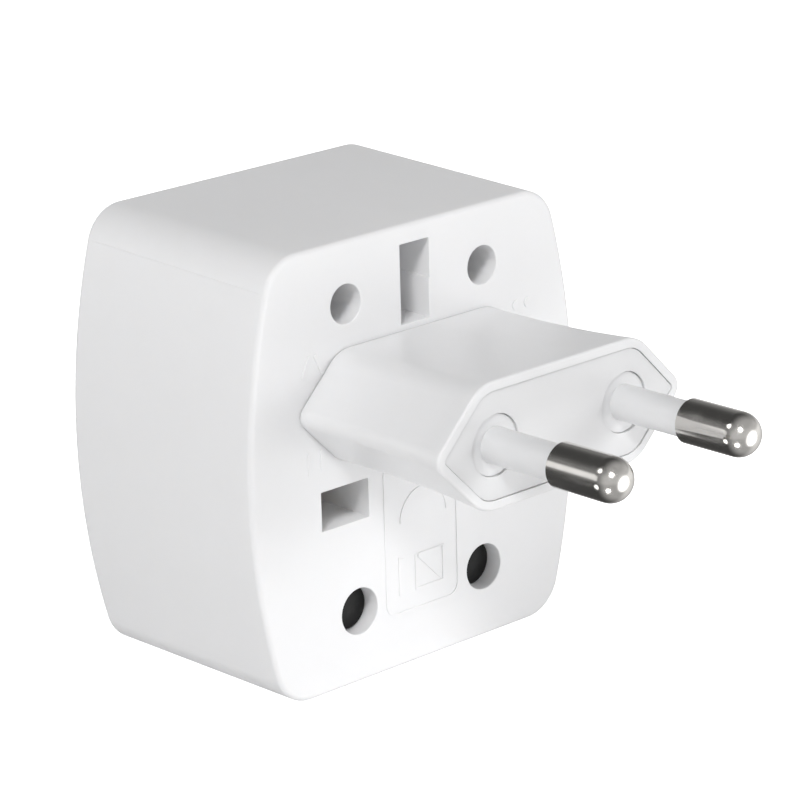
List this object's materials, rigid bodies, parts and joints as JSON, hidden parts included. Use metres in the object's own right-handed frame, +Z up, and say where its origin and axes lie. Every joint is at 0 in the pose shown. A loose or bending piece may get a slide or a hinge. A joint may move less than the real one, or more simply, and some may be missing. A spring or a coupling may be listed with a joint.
{
  "type": "universal travel adapter",
  "caption": "Rounded block travel adapter: universal socket behind, turning flat blades in front under a slide-off round-pin plug module.",
  "frame": {"origin": "under the middle of the adapter, on the plane that the casing stands on", "axes": "+Z up; -Y along the round pins, away from the casing; +X to the right as seen from the pin side"},
  "size_m": [0.0484, 0.0684, 0.0501],
  "materials": {
    "white_casing": "satin moulded",
    "white_module": "satin moulded",
    "white_panel": "fine satin",
    "sleeve_plastic": "satin",
    "black_plastic": "moulded black",
    "brass": "punched sheet",
    "spring_bronze": "spring sheet",
    "steel": "zinc plated",
    "nickel_plate": "bright nickel plate"
  },
  "bodies": {
    "adapter_body": {"main_housing": "white_casing", "socket_plate": "white_casing", "rotor_retainer": "black_plastic", "contact_carrier": "black_plastic", "live_busbar": "brass", "neutral_busbar": "brass", "live_uk_clip": "spring_bronze", "neutral_uk_clip": "spring_bronze", "live_twin_clip": "spring_bronze", "neutral_twin_clip": "spring_bronze", "clip_rivets": "brass", "casing_screws": "steel", "retainer_screws": "steel", "friction_washers": "steel"},
    "left_blade_unit": {"left_rotor": "white_module", "left_blade": "nickel_plate"},
    "right_blade_unit": {"right_rotor": "white_module", "right_blade": "nickel_plate"},
    "plug_module": {"module_shell": "white_module", "module_panel": "white_panel", "left_pin_sleeve": "sleeve_plastic", "right_pin_sleeve": "sleeve_plastic", "left_pin": "nickel_plate", "right_pin": "nickel_plate", "left_leaf": "spring_bronze", "right_leaf": "spring_bronze"}
  },
  "joints": [
    {"name": "module_slide", "type": "slide", "parent": "adapter_body", "child": "plug_module", "axis": [0, -1, 0], "range_m": [0, 0.02]},
    {"name": "left_blade_turn", "type": "hinge", "parent": "adapter_body", "child": "left_blade_unit", "pos_m": [-0.00635, 0.00535, 0.03262], "axis": [0, 1, 0], "range_deg": [0, 30]},
    {"name": "right_blade_turn", "type": "hinge", "parent": "adapter_body", "child": "right_blade_unit", "pos_m": [0.00635, 0.00535, 0.03262], "axis": [0, -1, 0], "range_deg": [0, 30]}
  ]
}
